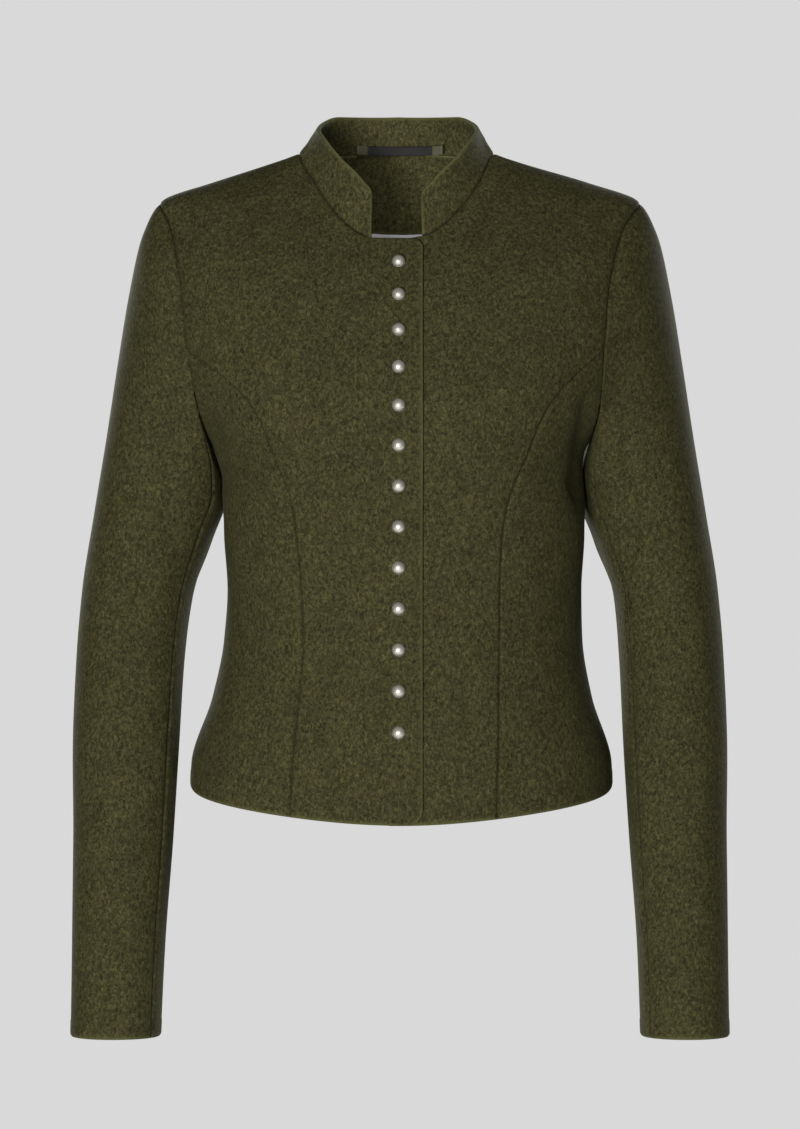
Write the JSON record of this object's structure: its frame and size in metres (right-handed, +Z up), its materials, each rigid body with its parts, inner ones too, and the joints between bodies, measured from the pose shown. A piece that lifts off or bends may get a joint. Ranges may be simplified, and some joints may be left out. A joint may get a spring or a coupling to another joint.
{
  "type": "short loden jacket",
  "caption": "Short fitted loden wool jacket with a stand collar, domed metal buttons and set-in sleeves, filled out as worn, hollow and open at neck, hem and cuffs.",
  "frame": {"origin": "midway between the wearer's shoulders, level with the foot of the collar, where the wearer's shoulders hold the jacket up", "axes": "+Z up, -Y towards the front of the jacket, +X towards its left side"},
  "size_m": [0.5224, 0.2379, 0.7347],
  "materials": {
    "loden": "dark olive felted wool with a fine mottle and a short nap",
    "lining": "pale grey-lilac satin lining",
    "tape": "black twill tape, plain",
    "tape_end": "grey-green folded tape end",
    "button": "old silver, cast and rubbed bright on the dome"
  },
  "bodies": {
    "root": {"front_right": "loden", "front_side_right": "loden", "back_side_right": "loden", "back_right": "loden", "top_sleeve_right": "loden", "under_sleeve_right": "loden", "front_left": "loden", "front_side_left": "loden", "back_side_left": "loden", "back_left": "loden", "top_sleeve_left": "loden", "under_sleeve_left": "loden", "stand_collar": "loden", "back_neck_facing": "loden", "back_lining": "lining", "hanger_tape": "tape", "tape_end_right": "tape_end", "tape_end_left": "tape_end", "button_01": "button", "button_02": "button", "button_03": "button", "button_04": "button", "button_05": "button", "button_06": "button", "button_07": "button", "button_08": "button", "button_09": "button", "button_10": "button", "button_11": "button", "button_12": "button", "button_13": "button"}
  },
  "joints": []
}
